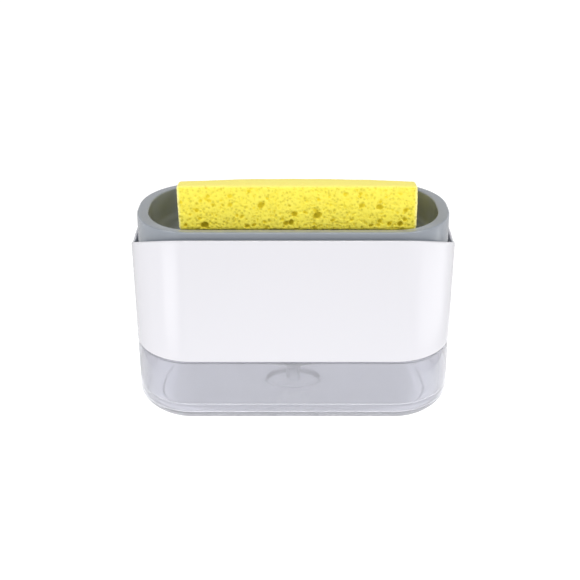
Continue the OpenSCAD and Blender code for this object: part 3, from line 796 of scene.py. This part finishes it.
def cross_ribs(name, rib, start, top, finish):
    """Four bars with rounded edges, from the middle out along X and Y."""
    work = bmesh.new()
    for axis, sign in ((0, 1), (0, -1), (1, 1), (1, -1)):
        size = np.full(3, rib["width"])
        size[axis] = rib["reach"][axis] - start
        size[2] = rib["depth"] + RIB_SUNK
        centre = np.array([0, 0, top + RIB_SUNK - size[2] / 2])
        centre[axis] = sign * (start + size[axis] / 2)
        bar = bmesh.ops.create_cube(work, size=MM)["verts"]
        bmesh.ops.scale(work, vec=size, verts=bar)
        bmesh.ops.translate(work, vec=centre * MM, verts=bar)
    mesh = bpy.data.meshes.new(name)
    work.to_mesh(mesh)
    work.free()
    mesh.shade_smooth()
    made = show(name, mesh, finish)
    edges = made.modifiers.new("rounded_edges", "BEVEL")
    edges.width, edges.segments = RIB_ROUND, 2
    print(f"{name}: four bars, {rib['depth']} mm deep")
    return even_shading(made)


deck_ribs = cross_ribs("deck_ribs", DECK_RIB, PUMP_NECK_OUT - RIB_START_IN, DECK_Z - DECK_TH,
                       white)
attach(deck_ribs, "top")

# %% [markdown]
# ## Gray plastic
#
# The tray is a cool mid gray, nearly as glossy as the sleeve, so it shows a clear streak where a
# corner turns to a lamp. A very fine moulded texture breaks the light elsewhere.

# %% Gray plastic
gray = Finish("gray_gloss_plastic", IOR=1.5)
gray.feed("Base Color", gray.mix(gray.grain(5 * MM), colour(0.272, 0.298, 0.335),
                                 colour(0.287, 0.313, 0.35)))
gray.wander(0.14, 0.06, 3 * MM)
gray.emboss(gray.grain(0.35 * MM, detail=1.0), 0.003 * MM)
gray.report()

# %% [markdown]
# ## Tray
#
# The tray is a basin inside a skirt, and the skirt slides in the sleeve. The basin's floor rises
# in a low round mound with the soap outlet, and a hub under it takes the pump's stem. Again one
# skin closes on itself.

# %% Tray basin and skirt
TRAY_INSET = 3
TRAY_RIM_Z = 78.8
TRAY_RIM_W = 4.7
TRAY_FLOOR_Z = 67
TRAY_WALL = 1.6
SKIRT_Z = 55
SKIRT_DRAFT = 0.5
RIM_OUT_ROUND = 0.7
RIM_IN_ROUND = 0.6
BASIN_DRAFT = 1.2
BASIN_ROUND = 3.5
BASIN_INSET = TRAY_INSET + TRAY_RIM_W
BASIN_FLOOR_INSET = BASIN_INSET + BASIN_DRAFT + BASIN_ROUND
BASIN_STEPS, UNDER_STEPS, RIM_STEPS = 10, 8, 8
WALL_SLOPE = 10
WALL_START = 1


def tray_shell():
    """From the basin's floor up its wall, over the rim, down the skirt and back under."""
    bend_top, rim_low = TRAY_FLOOR_Z + BASIN_ROUND, TRAY_RIM_Z - TRAY_WALL
    skirt_in = TRAY_INSET + SKIRT_DRAFT
    basin = arc((BASIN_FLOOR_INSET, bend_top), (-BASIN_ROUND, BASIN_ROUND),
                -90, -WALL_SLOPE, BASIN_STEPS)
    rim = rounded([
        (BASIN_INSET + BASIN_DRAFT / 2, bend_top + WALL_START),
        (BASIN_INSET, TRAY_RIM_Z, RIM_IN_ROUND),
        (TRAY_INSET, TRAY_RIM_Z, RIM_OUT_ROUND), (skirt_in, SKIRT_Z, SMALL_ROUND),
        (skirt_in + TRAY_WALL, SKIRT_Z, SMALL_ROUND),
        (TRAY_INSET + TRAY_WALL, rim_low, RIM_IN_ROUND),
        (BASIN_INSET - TRAY_WALL, rim_low, RIM_IN_ROUND),
        (BASIN_INSET + BASIN_DRAFT - TRAY_WALL, bend_top)], steps=RIM_STEPS)
    outer_round = BASIN_ROUND + TRAY_WALL
    under = arc((BASIN_FLOOR_INSET, bend_top), (-outer_round, outer_round),
                -WALL_SLOPE, -90, UNDER_STEPS)
    return plan_rings(basin + rim + under)


shell = tray_shell()
print(f"tray shell of {len(shell)} rings")

# %% [markdown]
# ### Outlet and hub
#
# The mound keeps water on the tray's floor out of the soap's way. Its middle is open for the
# outlet cap, and the hub below it is bored for the stem, which seals on a small ring.

# %% Tray mound and hub
MOUND_R = 10.8
MOUND_FOOT_R = 13.4
MOUND_Z = 69.1
MOUND_ROUND = 0.7
MOUND_FOOT_ROUND = 1
OUTLET_R = 8.2
OUTLET_Z = 66.4
HUB_R = 6
HUB_Z = 62.3
HUB_ROUND = 0.4
HUB_BORE_R = 3.55
BORE_SEAM = 0.5
TRAY_RIB = {"width": 1.4, "depth": 2, "reach": (55.1, 32.6)}


def tray_mound():
    """From the outlet's floor up and over the mound to the basin's floor."""
    return round_rings(rounded([
        (HUB_BORE_R, OUTLET_Z), (OUTLET_R, OUTLET_Z, FINE_ROUND), (OUTLET_R, MOUND_Z, TINY_ROUND),
        (MOUND_R, MOUND_Z, MOUND_ROUND), (MOUND_FOOT_R, TRAY_FLOOR_Z, MOUND_FOOT_ROUND),
        (MOUND_FOOT_R + RUN, TRAY_FLOOR_Z)]))


def tray_hub():
    """Under the floor, in to the hub, and up its bore to the outlet's floor."""
    under, outlet_low = TRAY_FLOOR_Z - TRAY_WALL, OUTLET_Z - TRAY_WALL
    return round_rings(rounded([
        (MOUND_FOOT_R + RUN, under), (MOUND_R + HUB_ROUND, under, HUB_ROUND),
        (MOUND_R, outlet_low, FINE_ROUND), (HUB_R, outlet_low, HUB_ROUND),
        (HUB_R, HUB_Z, HUB_ROUND), (HUB_BORE_R, HUB_Z, TINY_ROUND),
        (HUB_BORE_R, OUTLET_Z - BORE_SEAM)]))


mound, hub = tray_mound(), tray_hub()
tray = skin("gray_tray", mound + between(mound[-1], shell[0]) + shell
            + between(shell[-1], hub[0]) + hub, gray, closed_loop=True)
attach(tray, "press")
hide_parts("sponge_tray")
tray_ribs = cross_ribs("tray_ribs", TRAY_RIB, HUB_R - RIB_START_IN, TRAY_FLOOR_Z - TRAY_WALL, gray)
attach(tray_ribs, "press")

# %% [markdown]
# ## Sponge
#
# A cellulose sponge is a block of bubbles with its skin cut away, so its faces are all craters:
# a few wide ones, many small ones, and thin bright walls between. A texture alone would look
# painted, so the craters are carved into a fine mesh. The block starts as a grid on the six faces
# of a box with rounded edges.

# %% Sponge block
SPONGE_W = 96
SPONGE_D = 60
SPONGE_H = 17.6
SPONGE_ROUND = 1.3
CELLS = (320, 120, 58)


def box_grid(cells):
    """Points of a unit box's surface grid, -1 to 1, and its faces. Faces share their edges."""
    index, points, faces = {}, [], []

    def corner(key):
        if key not in index:
            index[key] = len(points)
            points.append([2 * k / n - 1 for k, n in zip(key, cells)])
        return index[key]

    for axis in range(3):
        u, v = (axis + 1) % 3, (axis + 2) % 3
        for level in (0, cells[axis]):
            for i in range(cells[u]):
                for j in range(cells[v]):
                    loop = []
                    for di, dj in ((0, 0), (1, 0), (1, 1), (0, 1)):
                        key = [0, 0, 0]
                        key[axis], key[u], key[v] = level, i + di, j + dj
                        loop.append(corner(tuple(key)))
                    faces.append(loop if level else loop[::-1])
    return np.array(points), faces


def rounded_block(unit, size, radius):
    """A block with rounded edges, and the outward directions of its points."""
    half = np.array(size) / 2
    point = unit * half
    core = np.clip(point, radius - half, half - radius)
    away = point - core
    length = np.linalg.norm(away, axis=1)[:, None]
    out = away / length
    return core + out * radius, out


unit, sponge_faces = box_grid(CELLS)
block, sponge_out = rounded_block(unit, (SPONGE_W, SPONGE_D, SPONGE_H), SPONGE_ROUND)
print(f"sponge block: {len(block)} points, {len(sponge_faces)} faces")

# %% [markdown]
# ### Craters
#
# Each crater is an ellipsoid that is wider than it is tall, because the foam rises and settles as
# it sets. A few large ones on the front face are listed one by one: two shares of the face's width
# and height, then half the width and half the height in millimetres. The rest are scattered by a
# seeded generator. Each rule says on which face, how many per square millimetre, how small, how
# large and how deep: fewer and shallower on top, where the block was skimmed.

# %% Craters
FRONT_CRATERS = [
    (0.11, 0.11, 1.7, 1.3), (0.09, 0.26, 0.7, 0.6), (0.08, 0.45, 1.0, 0.8), (0.15, 0.56, 1.0, 0.7),
    (0.22, 0.77, 1.2, 0.9), (0.22, 0.57, 1.1, 0.8), (0.12, 0.7, 0.9, 0.7), (0.35, 0.56, 1.5, 1.2),
    (0.32, 0.5, 0.7, 0.5), (0.29, 0.08, 1.2, 0.8), (0.455, 0.15, 1.1, 0.9),
    (0.475, 0.17, 1.2, 1.1), (0.49, 0.36, 1.3, 1.0), (0.35, 0.94, 1.1, 0.5),
    (0.05, 0.35, 0.7, 0.5), (0.03, 0.11, 0.7, 0.7), (0.585, 0.335, 2.0, 1.2),
    (0.65, 0.22, 1.1, 0.6), (0.73, 0.23, 0.8, 0.5), (0.7, 0.81, 1.1, 0.9), (0.785, 0.78, 0.8, 0.6),
    (0.87, 0.74, 0.8, 0.7), (0.77, 0.55, 1.4, 0.9), (0.845, 0.52, 1.5, 1.1),
    (0.91, 0.57, 1.5, 0.4), (0.93, 0.81, 0.9, 0.7), (0.95, 0.24, 1.0, 0.8), (0.845, 0.2, 1.0, 0.8),
    (0.885, 0.14, 1.0, 0.8), (0.81, 0.1, 1.0, 0.6), (0.93, 0.14, 1.2, 1.0), (0.68, 0.55, 1.0, 0.4),
    (0.635, 0.75, 0.6, 0.6), (0.54, 0.64, 0.6, 0.5), (0.555, 0.97, 1.0, 0.5),
    (0.16, 0.33, 0.6, 0.5),
]
FRONT_DEPTH, FRONT_DEPTH_LOST = 1.5, 0.7
FRONT_TURN = (-0.1, 0.4)
WIDTHS, HEIGHTS, DEPTHS, TURNS = (1.0, 1.5), (0.7, 1.1), (0.8, 1.3), (-0.6, 0.6)
SIDE_RULES = ((0.03, 0.55, 0.9), (0.9, 0.22, 0.45))
SCATTERED = [(face, *rule) for face in ("front", "back", "left", "right") for rule in SIDE_RULES]
SCATTERED += [("top", 0.006, 0.5, 1.1, 0.6), ("top", 0.12, 0.25, 0.45, 0.5),
              ("under", 0.1, 0.5, 1.2, 0.6)]
rng = np.random.default_rng(7)
FACES = {
    "front": ((0, 2), 1, -1), "back": ((0, 2), 1, 1), "left": ((1, 2), 0, -1),
    "right": ((1, 2), 0, 1), "top": ((0, 1), 2, 1), "under": ((0, 1), 2, -1),
}
SIZE = np.array([SPONGE_W, SPONGE_D, SPONGE_H])


def scatter(face, per_mm2, low, high, skin_share=1.0):
    """Rows of a centre, the face's three axes, three reaches and the turn in the face."""
    (u, v), axis, side = FACES[face]
    count = int(per_mm2 * SIZE[u] * SIZE[v])
    rows = []
    for _ in range(count):
        centre = np.zeros(3)
        centre[u] = rng.uniform(-0.5, 0.5) * SIZE[u]
        centre[v] = rng.uniform(-0.5, 0.5) * SIZE[v]
        centre[axis] = side * SIZE[axis] / 2
        reach = low * (high / low) ** rng.uniform(0, 1)
        wide, tall = reach * rng.uniform(*WIDTHS), reach * rng.uniform(*HEIGHTS)
        deep, turn = reach * rng.uniform(*DEPTHS) * skin_share, rng.uniform(*TURNS)
        rows.append((centre, u, v, axis, wide, tall, deep, turn))
    return rows


craters = []
for across, up, wide, tall in FRONT_CRATERS:
    centre = np.array([(across - 0.5) * SPONGE_W, -SPONGE_D / 2, (up - 0.5) * SPONGE_H])
    craters.append((centre, 0, 2, 1, wide, tall, tall * (FRONT_DEPTH - FRONT_DEPTH_LOST * up),
                    rng.uniform(*FRONT_TURN)))
for face, *rule in SCATTERED:
    craters += scatter(face, *rule)
print(f"{len(craters)} craters")

# %% [markdown]
# ### Carving
#
# Each point sinks straight in by the depth of the deepest crater over it. Noise frays the edges,
# because a cut bubble is never a clean oval, and leaves the whole block slightly lumpy.

# %% Carve the sponge
FRAY, FRAY_REACH = 0.35, 1.15
FRAY_WAVES, LUMP_WAVES = (0.9, 2.1), (0.12, 0.9)
LUMP_HEIGHTS = (0.18, 0.08)
BOWL_POWER = 0.8


def two_waves(scales, heights):
    """Broad and fine noise at each point of the block, added up."""
    return np.array([sum(height * noise.noise(Vector(p) * scale)
                         for scale, height in zip(scales, heights)) for p in block])


tree = kdtree.KDTree(len(block))
for i, p in enumerate(block):
    tree.insert(p, i)
tree.balance()
depth = np.zeros(len(block))
ragged = two_waves(FRAY_WAVES, (1, 0.5))
for centre, u, v, axis, wide, tall, deep, turn in craters:
    near = [i for _, i, _ in tree.find_range(centre, max(wide, tall, deep) * FRAY_REACH)]
    if not near:
        continue
    offset = block[near] - centre
    a = (offset[:, u] * math.cos(turn) + offset[:, v] * math.sin(turn)) / wide
    b = (offset[:, v] * math.cos(turn) - offset[:, u] * math.sin(turn)) / tall
    out = a ** 2 + b ** 2 + (offset[:, axis] / deep) ** 2 + FRAY * ragged[near]
    hollow = deep * np.sqrt(np.clip(1 - out, 0, 1)) ** BOWL_POWER
    depth[near] = np.maximum(depth[near], hollow)
lumps = two_waves(LUMP_WAVES, LUMP_HEIGHTS)
carved = block + sponge_out * (lumps - depth)[:, None]
print(f"carved: {np.mean(depth > 0.1):.0%} of the points lie in craters")

# %% [markdown]
# ### The block's form
#
# The block isn't quite square. It is thicker in front, slightly crowned on top, a little narrower
# at its foot, and it flares towards the back. The side that lies on the tray stays flat.

# %% Shape the sponge
SPONGE_TAPER = 3
SPONGE_CROWN = 0.8
SPONGE_END_CROWN = 1.3
BACK_FLARE = 3.4
FOOT_NARROWER = (1.0, 0.4)

across_share = 2 * block[:, 0] / SPONGE_W
deep_share = 2 * block[:, 1] / SPONGE_D
rise = (SPONGE_CROWN + SPONGE_END_CROWN * (1 - across_share ** 2)) * (1 - deep_share ** 2)
back_share = block[:, 1] / SPONGE_D + 0.5
up_share = block[:, 2] / SPONGE_H + 0.5
carved[:, 2] += (rise - SPONGE_TAPER * back_share) * up_share
carved[:, 0] += across_share * (BACK_FLARE * back_share * up_share ** 3
                                - np.where(across_share < 0, *FOOT_NARROWER) * (1 - up_share))
print("shaped block, in mm:", np.ptp(carved, axis=0).round(1))

# %% [markdown]
# ### How the sponge lies
#
# The sponge lies across the round outlet cap in the tray's middle, with its lower back edge on
# the floor. The slant follows from the cap's height and its edge.

# %% Place the sponge
CAP_TOP_Z = 70.0
CAP_R = MOUND_R - 1
SPONGE_SHIFT = 1.5
SPONGE_BACK_Y = 28.3
SPONGE_LIFT = 0.3
SPONGE_LEAN = math.atan((CAP_TOP_Z - TRAY_FLOOR_Z) / (SPONGE_BACK_Y - CAP_R))

lean_cos, lean_sin = math.cos(-SPONGE_LEAN), math.sin(-SPONGE_LEAN)
local = carved + np.array([0, -SPONGE_D / 2, SPONGE_H / 2])
placed = np.column_stack([
    local[:, 0] + SPONGE_SHIFT,
    SPONGE_BACK_Y + local[:, 1] * lean_cos - local[:, 2] * lean_sin,
    TRAY_FLOOR_Z + SPONGE_LIFT + local[:, 1] * lean_sin + local[:, 2] * lean_cos,
])
print(f"sponge leans {math.degrees(SPONGE_LEAN):.1f} degrees, top at {placed[:, 2].max():.1f} mm")

# %% [markdown]
# ### Sponge finish
#
# The walls of the bubbles are a clean lemon yellow. Light that enters a crater bounces about and
# comes out deeper and a little green, so the carved depth is kept on the points as an attribute and
# mixes a darker colour in, a painted shade in the craters. The top and the rounded ends are paler,
# and each has an attribute too. Soft dark cells are painted shade for pores too small to carve, and
# a cloudy mask thins some of them out, as in real foam. A last attribute makes the painted shade of
# craters and pores darker towards the bottom of the block.

# %% Sponge finish
PORE = 1.5 * MM
PORE_CORE, PORE_EDGE = 0.15, 0.5
CLOSED_BELOW, OPEN_ABOVE = 0.32, 0.56
FULL_HOLLOW = 1.2
ATTRIBUTES = ("hollow", "skimmed", "dry", "coarse")

foam = Finish("cellulose_foam", Roughness=0.9, Subsurface_Weight=0.05,
              Subsurface_Radius=(1.0, 0.8, 0.3), Subsurface_Scale=0.8 * MM,
              Specular_IOR_Level=0.25)
hollow_share, skimmed, dry, coarse = (
    foam.node("ShaderNodeAttribute", {"attribute_name": name}, output="Fac")
    for name in ATTRIBUTES)
cells = foam.node("ShaderNodeTexVoronoi", None, {"Vector": foam.place(), "Scale": 1 / PORE})
# Painted shade of pores too small to carve, as soft dark cells.
pits = foam.node("ShaderNodeMapRange", {"clamp": True}, {
    "Value": cells, "From Min": PORE_CORE, "From Max": PORE_EDGE, "To Min": 1.0, "To Max": 0.0})
open_share = foam.node("ShaderNodeMapRange", {"clamp": True}, {
    "Value": foam.grain(1.6 * MM), "From Min": CLOSED_BELOW, "From Max": OPEN_ABOVE})
pits = pits * open_share
patches = foam.grain(5 * MM)
yellow = foam.mix(patches, colour(1.0, 0.86, 0.08), colour(1.0, 0.89, 0.13))
# Paler on top, with fewer pores painted there.
yellow = foam.mix(skimmed, yellow, colour(1.0, 0.88, 0.21))
# Paler at the rounded ends.
yellow = foam.mix(dry, yellow, colour(0.98, 0.9, 0.36))
# Painted shade in the craters, darker the deeper a point is carved.
shade = foam.node("ShaderNodeValToRGB", {"stops": [
    (0.0, (1, 1, 1)), (0.12, (1, 1, 1)), (0.35, (0.9, 0.84, 0.4)), (1.0, (0.44, 0.41, 0.06))]},
    {"Fac": hollow_share * (0.45 + 0.55 * coarse)})
crater_shaded = foam.mix(1.0, yellow, shade, blend="MULTIPLY")
pitted = foam.mix(pits * (0.42 + 0.5 * coarse - 0.37 * skimmed), crater_shaded, colour(0.58, 0.48, 0.03))
foam.feed("Base Color", pitted)
foam.emboss(1.0 - pits + 0.4 * foam.grain(0.3 * MM), 0.2 * MM, strength=0.5)
foam.report()

# %% [markdown]
# ### The finished sponge
#
# The attributes follow from the carving: how deep a point lies, how far up the block it is, and
# which way its face looked before it was carved.

# %% Sponge
PALE_TOP_FROM, PALE_ENDS_FROM, PALE_ENDS_MOST = 0.3, 0.2, 0.9
FACE_TURN = 0.5

sponge = piece("cellulose_sponge", placed, sponge_faces, foam)


def point_values(made, name, values):
    made.data.attributes.new(name, "FLOAT", "POINT").data.foreach_set(
        "value", np.asarray(values, np.float32))


point_values(sponge, "hollow", np.clip(depth / FULL_HOLLOW, 0, 1))
# Painted shade of craters and pores, darker towards the bottom of the block.
point_values(sponge, "coarse", 1 - up_share)
point_values(sponge, "skimmed", np.clip((sponge_out[:, 2] - PALE_TOP_FROM) / FACE_TURN, 0, 1))
point_values(sponge, "dry", np.clip((np.abs(sponge_out[:, 0]) - PALE_ENDS_FROM) / FACE_TURN, 0, PALE_ENDS_MOST))
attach(sponge, "loose_sponge")
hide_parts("sponge")
print("attributes:", ", ".join(ATTRIBUTES))

# %% [markdown]
# ## Return spring
#
# The spring is one round wire. The working model's is coarse, so a finer one replaces it: a circle
# swept along the same helix.

# %% Return spring
WIRE_R = 0.4
COIL_R = 4.4
COIL_TURNS = 5.5
CAGE_TOP_Z, PISTON_TIP_Z = 20.77, 36.65
SPRING_LOW_Z = CAGE_TOP_Z + WIRE_R
SPRING_HIGH_Z = PISTON_TIP_Z - WIRE_R
WIRE_STEPS = 40
WIRE_SIDES = 12

steel = Finish("spring_steel", Base_Color=colour(0.62, 0.62, 0.63), Metallic=1.0)
steel.wander(0.18, 0.15, 0.8 * MM, stretch=(1, 1, 6))


def helix_wire():
    """A circle swept along the helix, square to it, with its two ends closed."""
    count = int(WIRE_STEPS * COIL_TURNS)
    rise = SPRING_HIGH_Z - SPRING_LOW_Z
    lean = math.atan(rise / (2 * math.pi * COIL_R * COIL_TURNS))
    angles = np.linspace(0, 2 * math.pi, WIRE_SIDES, endpoint=False)
    rings = []
    for i in range(count + 1):
        turn = 2 * math.pi * COIL_TURNS * i / count
        across = np.array([math.cos(turn), math.sin(turn), 0])
        up = np.array([math.sin(turn) * math.sin(lean), -math.cos(turn) * math.sin(lean),
                       math.cos(lean)])
        centre = COIL_R * across + [0, 0, SPRING_LOW_Z + rise * i / count]
        circle = np.outer(np.cos(angles), across) + np.outer(np.sin(angles), up)
        rings.append(centre + WIRE_R * circle)
    n = WIRE_SIDES
    faces = [(r * n + k, r * n + (k + 1) % n, (r + 1) * n + (k + 1) % n, (r + 1) * n + k)
             for r in range(count) for k in range(n)]
    faces += [tuple(range(n)), tuple(range(count * n, (count + 1) * n))]
    return np.concatenate(rings), faces


spring = piece("spring_coil", *helix_wire(), steel)
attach(spring, "top")
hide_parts("return_spring")
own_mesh(spring)
print(f"spring of {COIL_TURNS} turns, {SPRING_HIGH_Z - SPRING_LOW_Z + 2 * WIRE_R:.1f} mm tall")

# %% [markdown]
# ## The pump's other pieces
#
# The pump's round pieces are exact in the working model, so they only get their finishes: milky
# plastic for the cylinder, clearer plastic for the suction tube, plain white for the collar, the
# guide and the stem, steel for the balls, and silicone or black rubber for the soft rings. The
# outlet cap is gray like the tray around it.

# %% Pump finishes
milky = Finish("milky_plastic", Base_Color=colour(0.97, 0.975, 0.985), IOR=1.4,
               Transmission_Weight=0.85)
milky.wander(0.3, 0.15, 2 * MM)
hose = Finish("tube_plastic", Base_Color=colour(0.97, 0.975, 0.99), IOR=1.4,
              Transmission_Weight=0.9)
hose.wander(0.08, 0.1, 1.5 * MM, stretch=(1, 1, 0.2))
plain = Finish("plain_white_plastic", Base_Color=colour(0.8, 0.8, 0.8))
plain.wander(0.34, 0.15, 2 * MM)
plain.emboss(plain.grain(0.4 * MM), 0.005 * MM)
nitrile = Finish("black_nitrile", Base_Color=colour(0.02, 0.02, 0.02))
nitrile.wander(0.4, 0.2, 0.5 * MM)
ball_steel = Finish("ball_steel", Base_Color=colour(0.7, 0.7, 0.71), Metallic=1.0)
ball_steel.wander(0.06, 0.08, 0.6 * MM)

NODE_FINISHES = {
    "pump_cylinder": milky, "ball_cage": milky, "piston_seal": milky, "suction_tube": hose,
    "stem_guide": plain, "pump_collar": plain, "pump_stem": plain, "piston_tip": plain,
    "cylinder_gasket": silicone, "stem_wiper": silicone,
    "stem_oring": nitrile, "inlet_ball": ball_steel, "outlet_ball": ball_steel, "outlet_cap": gray,
}
for name, finish in NODE_FINISHES.items():
    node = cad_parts[name]
    node.data.materials.clear()
    node.data.materials.append(finish.material)
print(f"{len(NODE_FINISHES)} nodes of the working model finished")
